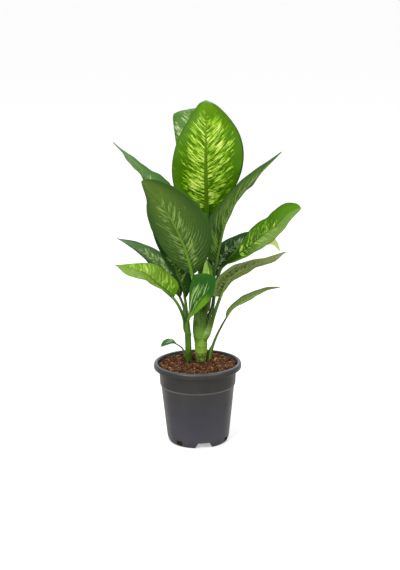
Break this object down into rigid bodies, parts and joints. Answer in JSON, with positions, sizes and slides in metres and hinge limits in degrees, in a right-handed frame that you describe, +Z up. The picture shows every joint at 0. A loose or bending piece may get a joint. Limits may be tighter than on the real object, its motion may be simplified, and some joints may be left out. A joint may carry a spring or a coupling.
{
  "type": "potted dieffenbachia",
  "caption": "Potted dieffenbachia: variegated leaves on long petioles from two green canes, standing in bark mulch in a plain black nursery pot.",
  "frame": {"origin": "centre of the pot's flat underside", "axes": "+Z up along the pot's axis; -Y towards the front, from which the plant is seen; +X to the right"},
  "size_m": [0.3982, 0.2647, 0.7387],
  "materials": {
    "pot_plastic": "black moulded plastic with a soft sheen",
    "mulch": "coarse damp bark and coir chips, matt",
    "cane": "green living stem, satin",
    "leaf": "green leaf with yellow-green markings, soft gloss"
  },
  "bodies": {
    "root": {"pot": "pot_plastic", "soil": "mulch", "main_cane": "cane", "left_cane": "cane", "crown_leaf": "leaf", "rear_crown_leaf": "leaf", "upper_left_leaf": "leaf", "front_leaf": "leaf", "long_left_leaf": "leaf", "bright_left_leaf": "leaf", "inner_left_leaf": "leaf", "folded_leaf": "leaf", "rolled_leaf": "leaf", "upper_right_leaf": "leaf", "bright_right_leaf": "leaf", "rear_right_leaf": "leaf", "olive_leaf": "leaf", "low_right_leaf": "leaf", "offshoot_leaf": "leaf"}
  },
  "joints": []
}
